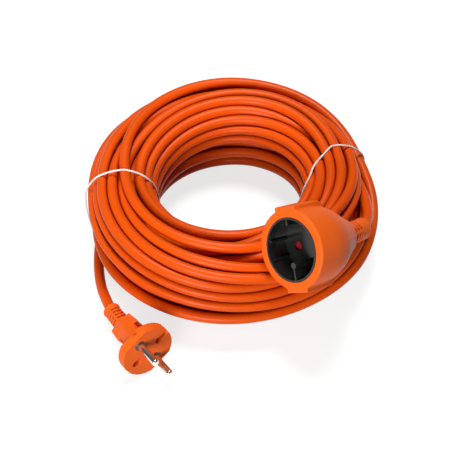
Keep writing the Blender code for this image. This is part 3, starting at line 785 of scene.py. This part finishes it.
def turned(profile, segments, centre=(0.0, 0.0)):
    """Spin a closed (radius, height) profile about local Z."""
    shape = bmesh.new()
    ring = [shape.verts.new((radius, 0.0, height)) for radius, height in profile]
    edges = [shape.edges.new((ring[k], ring[k - 1])) for k in range(len(ring))]
    along_axis = [edge for edge in edges if all(v.co.x == 0.0 for v in edge.verts)]
    bmesh.ops.delete(shape, geom=along_axis, context="EDGES")
    bmesh.ops.spin(
        shape, geom=list(shape.verts) + list(shape.edges), cent=(0, 0, 0), axis=(0, 0, 1),
        angle=2.0 * math.pi, steps=segments, use_merge=True,
    )
    bmesh.ops.remove_doubles(shape, verts=shape.verts, dist=WELD)
    bmesh.ops.translate(shape, vec=(*centre, 0.0), verts=shape.verts)
    return shape


def prism(outline, start, end, end_scale=(1.0, 1.0)):
    """A straight or tapered prism along local Z."""
    shape = bmesh.new()
    first = [shape.verts.new((x, y, start)) for x, y in outline]
    last = [shape.verts.new((x * end_scale[0], y * end_scale[1], end)) for x, y in outline]
    shape.faces.new(first)
    shape.faces.new(reversed(last))
    for k in range(len(outline)):
        shape.faces.new((first[k - 1], first[k], last[k], last[k - 1]))
    return shape


def crosswise(outline, half_x):
    """A prism along local X from a (y, z) outline."""
    shape = prism(outline, -half_x, half_x)
    swap = Matrix(((0, 0, 1), (1, 0, 0), (0, 1, 0))).to_4x4()
    bmesh.ops.transform(shape, matrix=swap, verts=shape.verts)
    return shape


def circle(radius, centre, stretch=1.0):
    turns = [2.0 * math.pi * k / CIRCLE_SIDES for k in range(CIRCLE_SIDES)]
    return [(centre[0] + radius * math.cos(t), centre[1] + stretch * radius * math.sin(t))
            for t in turns]


def rectangle(half_x, half_y, centre):
    corners = [(-half_x, -half_y), (half_x, -half_y), (half_x, half_y), (-half_x, half_y)]
    return [(centre[0] + x, centre[1] + y) for x, y in corners]


def fillet(centre, radius, start_deg, end_deg, steps=6):
    """Points of an arc in a profile."""
    return [
        (centre[0] + radius * math.cos(math.radians(a)),
         centre[1] + radius * math.sin(math.radians(a)))
        for a in np.linspace(start_deg, end_deg, steps)
    ]


def carve(made, joined=(), cut=()):
    """Join and cut with other shapes in the same frame, and keep only the result."""
    helpers = []
    for shape, operation in [(s, "UNION") for s in joined] + [(s, "DIFFERENCE") for s in cut]:
        helper = as_object("helper", shape, made.data.materials[0], Matrix())
        helper.matrix_world = made.matrix_world
        step = made.modifiers.new(operation, "BOOLEAN")
        step.operation, step.solver, step.object = operation, "EXACT", helper
        helpers.append(helper)
    settle(made)
    for helper in helpers:
        bpy.data.objects.remove(helper)
    return made


def settle(made):
    """Apply a piece's modifiers."""
    bpy.context.view_layer.update()
    graph = bpy.context.evaluated_depsgraph_get()
    done = bpy.data.meshes.new_from_object(made.evaluated_get(graph))
    made.modifiers.clear()
    made.data = done


def as_mesh(curve):
    """The same piece as a mesh, which a piece that shortens has to be."""
    bpy.context.view_layer.update()
    graph = bpy.context.evaluated_depsgraph_get()
    name = curve.name
    made = bpy.data.objects.new(name, bpy.data.meshes.new_from_object(curve.evaluated_get(graph)))
    bpy.data.objects.remove(curve)
    made.name = name
    bpy.context.scene.collection.objects.link(made)
    made.data.shade_smooth()
    return made


def soften(made, voxel):
    """Turn crisp joins and edges into the small fillets of a moulding."""
    remesh = made.modifiers.new("voxels", "REMESH")
    remesh.mode = "VOXEL"
    remesh.voxel_size = voxel * MM
    ease = made.modifiers.new("ease", "SMOOTH")
    ease.iterations = SOFTENING
    settle(made)
    made.data.shade_smooth()
    return made


def break_edges(made, width):
    """Small bevels that catch the light on a hard moulding."""
    made.data.shade_smooth()
    bevel = made.modifiers.new("edges", "BEVEL")
    bevel.width = width * MM
    bevel.segments = BEVEL_SEGMENTS
    bevel.limit_method = "ANGLE"
    bevel.angle_limit = BEVEL_ANGLE
    bevel.harden_normals = True
    settle(made)
    return made


def stand_for(made, slot, *nodes):
    """Let a piece ride on the cord set in place of CAD nodes, its place baked into its mesh."""
    if made.type == "MESH":
        made.data.transform(made.matrix_world)
        made.matrix_world = Matrix()
    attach(made, "cord_set")
    if nodes:
        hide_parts(*nodes)
    return made


# A strain relief is drawn as rings, one at each even step along its route.
SLEEVE_PIECES = 24
SLEEVE_STEP = 0.25
SLEEVE_SIDES = 120
SLEEVE_GRIP = 0.2
SLOT_COLUMNS_DEG = (-135.0, -45.0, 45.0, 135.0)
SLOT_HALF_WIDTH = 0.95
SLOT_BOW = 0.5
SLOT_SLOPE = 0.2
SLOT_SLOPE_DEG = 4.0
# The swelling before the sleeve's end, and the rounding of the end itself.
SWELL_AT = 1.6
SWELL_WIDTH = 1.1
LIP_LENGTH = 0.9
LIP_DEPTH = 1.6


def even_steps(line):
    """The line at even steps, with each step's distance along it and the whole length."""
    gaps = np.linalg.norm(np.diff(line, axis=0), axis=1)
    along = np.concatenate([[0.0], np.cumsum(gaps)])
    even = np.arange(0.0, along[-1], SLEEVE_STEP)
    return np.stack([np.interp(even, along, line[:, k]) for k in range(3)], -1), even, along[-1]


def slot_sinking(at, turns, slots, half_span_deg, depth):
    """How far the slots sink a sleeve's ring, for the angles in turns."""
    sunk = np.zeros(len(turns))
    for middle in slots:
        for column in SLOT_COLUMNS_DEG:
            away = np.remainder(turns - math.radians(column) + math.pi, 2 * math.pi) - math.pi
            away = np.degrees(away)
            bow = SLOT_BOW * (away / half_span_deg) ** 2
            across = np.clip((SLOT_HALF_WIDTH - np.abs(at - middle - bow)) / SLOT_SLOPE, 0, 1)
            sunk += depth * across * np.clip((half_span_deg - np.abs(away)) / SLOT_SLOPE_DEG, 0, 1)
    return sunk


def end_shape(to_end, swell):
    """What a sleeve's end adds to its radius."""
    lip = LIP_DEPTH * max(0.0, 1.0 - to_end / LIP_LENGTH) ** 2
    return swell * np.exp(-((to_end - SWELL_AT) / SWELL_WIDTH) ** 2) - lip


def slotted_sleeve(name, route, radii, frame_x, slots, half_span_deg, depth, swell):
    """A strain relief along a route: tapered, with columns of curved slots sunk into it."""
    line, along, total = even_steps(upsampled(np.array(route), SLEEVE_PIECES))
    turns = np.linspace(0.0, 2.0 * np.pi, SLEEVE_SIDES, endpoint=False)
    shape = bmesh.new()
    loops = []
    for k, place in enumerate(line):
        tangent = Vector(line[min(k + 1, len(line) - 1)] - line[max(k - 1, 0)]).normalized()
        side = (frame_x - frame_x.dot(tangent) * tangent).normalized()
        over = tangent.cross(side)
        radius = np.interp(along[k], [0.0, total], radii) + end_shape(total - along[k], swell)
        radius = radius - slot_sinking(along[k], turns, slots, half_span_deg, depth)
        loops.append([
            shape.verts.new(Vector(place) + (side * math.cos(t) + over * math.sin(t)) * float(r))
            for r, t in zip(radius, turns)
        ])
    end = Vector(line[-1])
    inside_cord = CORD / 2 - SLEEVE_GRIP
    loops.append([
        shape.verts.new(end + (v.co - end).normalized() * inside_cord) for v in loops[-1]])
    for near, far in zip(loops, loops[1:]):
        for k in range(SLEEVE_SIDES):
            shape.faces.new((near[k - 1], near[k], far[k], far[k - 1]))
    made = as_object(name, shape, MOULDING, Matrix())
    made.data.shade_smooth()
    return made


# ---------------------------------------------------------------- plug

BOTH_SIDES = (-1, 1)
PIN_OFFSET = 9.5
PIN_RADIUS = 2.4
PIN_LENGTH = 19.0
PIN_SIDES = 64
PIN_SHANK = (-2.9, 0.0, 6.0, 12.0, 16.0, 17.2)
PIN_END_ROUND = 1.5
COLLAR_RADIUS = 3.5

FLANGE_RADIUS = 18.5
FLANGE_HALF_FLAT = 16.5
FLANGE_ARC_STEPS = 40
FLANGE_BACK = -6.5
# Half sizes of the grip at its root and end.
GRIP_ROOT = (15.6, 6.4)
GRIP_END = (7.4, 6.2)
GRIP_SPAN = (-5.5, -30.4)
# As shares of those: where the broad side ends, and the edge beyond it.
GRIP_FLAT = 0.7
GRIP_EDGE = (0.8, 0.86)
# Half sizes of the tabs that thicken the grip's end, at their back and front.
TAB_BACK = (7.4, 8.3)
TAB_FRONT = (11.3, 8.9)
TAB_HALF_TOP = 4.8
TAB_SPAN = (-30.4, -18.6)

# Cutters run from behind the flange to clear of its face.
THROUGH_FLANGE = (-8.0, 1.0)
KEY_HOLE_RADIUS = 2.4
KEY_OFFSET = 10.0
# Half sizes and centre of a rectangle.
KEY_SLOT = (1.3, 5.5, (0.0, 15.5))
RIM_NICK = (1.3, 1.6, (0.0, -18.8))
OVAL_RADIUS = 2.2
OVAL_OFFSET = -10.4
OVAL_STRETCH = 1.4
COLLAR_WELL_RADIUS = 3.6
COLLAR_WELL = (-3.2, 1.0)
NOTCH = (1.4, 1.5)
NOTCH_Y = 3.1
NOTCH_SPAN = (-7.0, -4.1)

PLUG_VOXEL = 0.32
PLUG_RELIEF_SLOTS = (4.6, 7.5, 10.4, 13.3)


def flange_outline():
    start = math.acos(FLANGE_HALF_FLAT / FLANGE_RADIUS)
    return [
        (FLANGE_RADIUS * math.cos(t), FLANGE_RADIUS * math.sin(t))
        for side in (0.0, math.pi)
        for t in np.linspace(side + start, side + math.pi - start, FLANGE_ARC_STEPS)
    ]


def grip_outline(half_x, half_y):
    """A roof of two faces at each end of the pin line, between flat broad sides."""
    flat = GRIP_FLAT * half_x
    edge_x, edge_y = GRIP_EDGE[0] * half_x, GRIP_EDGE[1] * half_y
    return [
        (half_x, 0.0), (edge_x, edge_y), (flat, half_y), (-flat, half_y), (-edge_x, edge_y),
        (-half_x, 0.0), (-edge_x, -edge_y), (-flat, -half_y), (flat, -half_y),
        (edge_x, -edge_y),
    ]


def tab_outline(half_x, half_y):
    return [
        (half_x, 0.0), (TAB_HALF_TOP, half_y), (-TAB_HALF_TOP, half_y),
        (-half_x, 0.0), (-TAB_HALF_TOP, -half_y), (TAB_HALF_TOP, -half_y),
    ]


def tapered(outline, first, last, span):
    """A prism whose outline goes from one pair of half sizes to another."""
    return prism(outline(*first), *span, end_scale=(last[0] / first[0], last[1] / first[1]))


def plug_cutters():
    """Keyhole and slot, the oval and the nick opposite, collar wells, and the grip's notches."""
    cutters = [
        prism(circle(KEY_HOLE_RADIUS, (0.0, KEY_OFFSET)), *THROUGH_FLANGE),
        prism(rectangle(*KEY_SLOT), *THROUGH_FLANGE),
        prism(circle(OVAL_RADIUS, (0.0, OVAL_OFFSET), OVAL_STRETCH), *THROUGH_FLANGE),
        prism(rectangle(*RIM_NICK), *THROUGH_FLANGE),
    ]
    cutters += [
        prism(circle(COLLAR_WELL_RADIUS, (side * PIN_OFFSET, 0.0)), *COLLAR_WELL)
        for side in BOTH_SIDES
    ]
    cutters += [
        prism(rectangle(*NOTCH, (side * GRIP_ROOT[0], NOTCH_Y)), *NOTCH_SPAN)
        for side in BOTH_SIDES
    ]
    return cutters


def make_plug_body():
    flange = prism(flange_outline(), FLANGE_BACK, 0.0)
    body = as_object("plug_moulding", flange, MOULDING, PLUG_FRAME)
    grip = tapered(grip_outline, GRIP_ROOT, GRIP_END, GRIP_SPAN)
    tabs = tapered(tab_outline, TAB_BACK, TAB_FRONT, TAB_SPAN)
    carve(body, joined=[grip, tabs], cut=plug_cutters())
    soften(body, PLUG_VOXEL)
    return stand_for(body, "orange_moulding", "plug_body")


def make_plug_relief():
    relief = slotted_sleeve(
        "plug_relief", plug_relief_route(), radii=(6.1, 5.4),
        frame_x=PLUG_FRAME.col[0].to_3d(), slots=PLUG_RELIEF_SLOTS, half_span_deg=37.0,
        depth=2.1, swell=0.5)
    return stand_for(relief, "orange_moulding", "plug_strain_relief")


def make_pin(letter, side):
    shank = [(PIN_RADIUS, height) for height in PIN_SHANK]
    tip = fillet((PIN_RADIUS - PIN_END_ROUND, PIN_LENGTH - PIN_END_ROUND), PIN_END_ROUND,
                 0.0, 90.0, steps=8)
    profile = [(0.0, -3.0), (2.3, -3.0), *shank, *tip, (0.4, PIN_LENGTH), (0.0, PIN_LENGTH)]
    shape = turned(profile, PIN_SIDES, (side * PIN_OFFSET, 0.0))
    pin = as_object(f"contact_pin_{letter}", shape, NICKEL, PLUG_FRAME)
    pin.data.shade_smooth()
    return stand_for(pin, "nickel_pin", f"plug_pin_{letter}")


def make_carrier():
    """The two collars that stand round the pins; the rest of the carrier is hidden."""
    profile = [
        (2.5, -2.9), (COLLAR_RADIUS, -2.9), (COLLAR_RADIUS, 0.0), (3.3, 0.2), (2.6, 0.2),
        (2.5, 0.1),
    ]
    left, right = [
        turned(profile, PIN_SIDES, (side * PIN_OFFSET, 0.0)) for side in BOTH_SIDES]
    carrier = as_object("pin_carrier", left, COLLAR, PLUG_FRAME)
    carve(carrier, joined=[right])
    return stand_for(carrier, "dark_carrier", "plug_pin_carrier")


def make_plug():
    body = make_plug_body()
    relief = make_plug_relief()
    pins = [make_pin(letter, side) for letter, side in zip("ab", BOTH_SIDES)]
    return [body, relief, *pins, make_carrier()]


# ---------------------------------------------------------------- socket

SOCKET_SIDES = 128
RIM_ROUND = 1.4
BORE_ROUND = 0.5
BORE_RADIUS = 20.5
BORE_BACK = -29.0
BODY_BACK = -51.6
# The body's side, from the rim to the cord: radius and height.
BODY_SIDE = [
    (26.0, -2.0), (25.9, -11.0), (25.3, -21.0), (23.0, -29.5), (19.6, -36.5), (16.0, -43.0),
    (13.0, -48.6), (11.9, -51.0), (11.0, BODY_BACK),
]
SIDE_PIECES = 6
LUG_HALF_WIDTH = 8.2
SOCKET_VOXEL = 0.42
# The part of the body's side that the parting line follows.
SEAM_POINTS = slice(16, -2)
SEAM_SINK = 0.1
SEAM_WIRE = 0.3

RECESS_RADIUS = 19.4
RECESS_FLOOR = -17.5
FLOOR_BACK = -19.5
CHAMBER_RADIUS = 18.2
INSERT_BACK = -29.2
INSERT_EDGE = 0.22
POST_OFFSET = -10.0
POST_RADIUS = 2.0
POST_SPAN = (-18.0, -0.3)
# Half sizes and centre of the rib behind the post and the one opposite.
POST_RIB = (0.55, 4.6, (0.0, -15.2))
TOP_RIB = (0.55, 2.2, (0.0, 17.7))
SIDE_RIB = (1.4, 0.8)
SIDE_RIB_PLACE = (18.6, 5.8)
SIDE_RIB_SPAN = (-18.0, -2.2)
PIN_HOLE_RADIUS = 3.1
PIN_HOLE_SPAN = (-20.5, -16.5)

SOCKET_RELIEF_SLOTS = (4.0, 7.2, 10.4, 13.6)
# The return spring lies across the chamber, between these places along the key's side.
SPRING_REACH = (4.9, 17.6)
SPRING_TURNS = 5
SPRING_TURN_POINTS = 16
SPRING_DEPTH = -21.1
SPRING_WIRE = 0.22


def lug_outline(side):
    return [
        (side * 20.9, -27.0), (side * 25.6, -26.5), (side * 27.4, -23.5), (side * 27.5, -1.0),
        (side * 26.6, 0.0), (side * 20.9, 0.0),
    ]


def make_socket_body(side_line):
    rim = fillet((BODY_SIDE[0][0] - RIM_ROUND, -RIM_ROUND), RIM_ROUND, 0, 90)
    bore = fillet((BORE_RADIUS + BORE_ROUND, -BORE_ROUND), BORE_ROUND, 90, 180, steps=4)
    profile = [
        (0.0, BODY_BACK), *[tuple(point) for point in side_line[::-1]], *rim, *bore,
        (BORE_RADIUS, BORE_BACK), (0.0, BORE_BACK),
    ]
    body = as_object("socket_moulding", turned(profile, SOCKET_SIDES), MOULDING, SOCKET_FRAME)
    carve(body, joined=[crosswise(lug_outline(side), LUG_HALF_WIDTH) for side in BOTH_SIDES])
    soften(body, SOCKET_VOXEL)
    stand_for(body, "orange_moulding", "socket_body")


def make_parting_line(side_line):
    seam = [
        SOCKET_FRAME @ Vector((radius - SEAM_SINK, 0.0, height))
        for radius, height in side_line[SEAM_POINTS]
    ]
    line = tube("socket_parting_line", seam, SEAM_WIRE, MOULDING, resolution=2)
    stand_for(line, "orange_moulding")


def make_insert():
    profile = [
        (0.0, RECESS_FLOOR), (RECESS_RADIUS, RECESS_FLOOR), (RECESS_RADIUS, 0.0),
        (BORE_RADIUS, 0.0), (BORE_RADIUS, INSERT_BACK), (CHAMBER_RADIUS, INSERT_BACK),
        (CHAMBER_RADIUS, FLOOR_BACK), (0.0, FLOOR_BACK),
    ]
    insert = as_object("socket_recess", turned(profile, SOCKET_SIDES), INSERT, SOCKET_FRAME)
    ribs = [
        prism(circle(POST_RADIUS, (0.0, POST_OFFSET)), *POST_SPAN),
        prism(rectangle(*POST_RIB), *POST_SPAN),
        prism(rectangle(*TOP_RIB), *POST_SPAN),
    ]
    rib_x, rib_y = SIDE_RIB_PLACE
    ribs += [
        prism(rectangle(*SIDE_RIB, (side * rib_x, end * rib_y)), *SIDE_RIB_SPAN)
        for side in BOTH_SIDES for end in BOTH_SIDES
    ]
    holes = [
        prism(circle(PIN_HOLE_RADIUS, (side * PIN_OFFSET, 0.0)), *PIN_HOLE_SPAN)
        for side in BOTH_SIDES
    ]
    carve(insert, joined=ribs, cut=holes)
    break_edges(insert, INSERT_EDGE)
    stand_for(insert, "black_insert", "socket_insert")


def make_socket_relief():
    route = on_axis(SOCKET_FRAME, -49.5, -54.0) + SOCKET_RELIEF_ROUTE
    relief = slotted_sleeve(
        "socket_relief", route, radii=(8.0, 7.0), frame_x=SOCKET_FRAME.col[0].to_3d(),
        slots=SOCKET_RELIEF_SLOTS, half_span_deg=38.0, depth=3.7, swell=0.35)
    stand_for(relief, "orange_moulding", "socket_strain_relief")


def make_return_spring():
    """The shutter's spring, drawn at rest; the real spring shortens as the shutter slides."""
    low, high = SPRING_REACH
    points = SPRING_TURN_POINTS * SPRING_TURNS + 1
    turns = np.linspace(0.0, 2.0 * np.pi * SPRING_TURNS, points)
    coil = [
        SOCKET_FRAME @ Vector((
            math.cos(t), low + (high - low) * t / turns[-1], SPRING_DEPTH + math.sin(t)))
        for t in turns
    ]
    spring = as_mesh(tube("return_spring", coil, SPRING_WIRE, STEEL, resolution=2))
    stand_for(spring, "spring_steel", "shutter_spring")
    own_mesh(spring)


def make_socket():
    side_line = upsampled(np.array(BODY_SIDE), SIDE_PIECES)
    make_socket_body(side_line)
    make_parting_line(side_line)
    make_insert()
    make_socket_relief()
    make_return_spring()


# ---------------------------------------------------------------- building


def make_ties(turns):
    for name, tie in TIES.items():
        loop = tube(name + "_wire", tie_route(tie, turns), TIE_WIRE, TIE_WHITE, closed=True)
        stand_for(loop, "white_tie", name)


def build_scene():
    add_studio()
    dress_cad_nodes()
    turns, live = wind_coil()
    cord = make_cord(turns, live)
    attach(cord, "cord_set")
    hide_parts("cord_coil", "cord_lead_plug", "cord_lead_socket")
    make_ties(turns)
    plug_pieces = make_plug()
    make_socket()


build_scene()
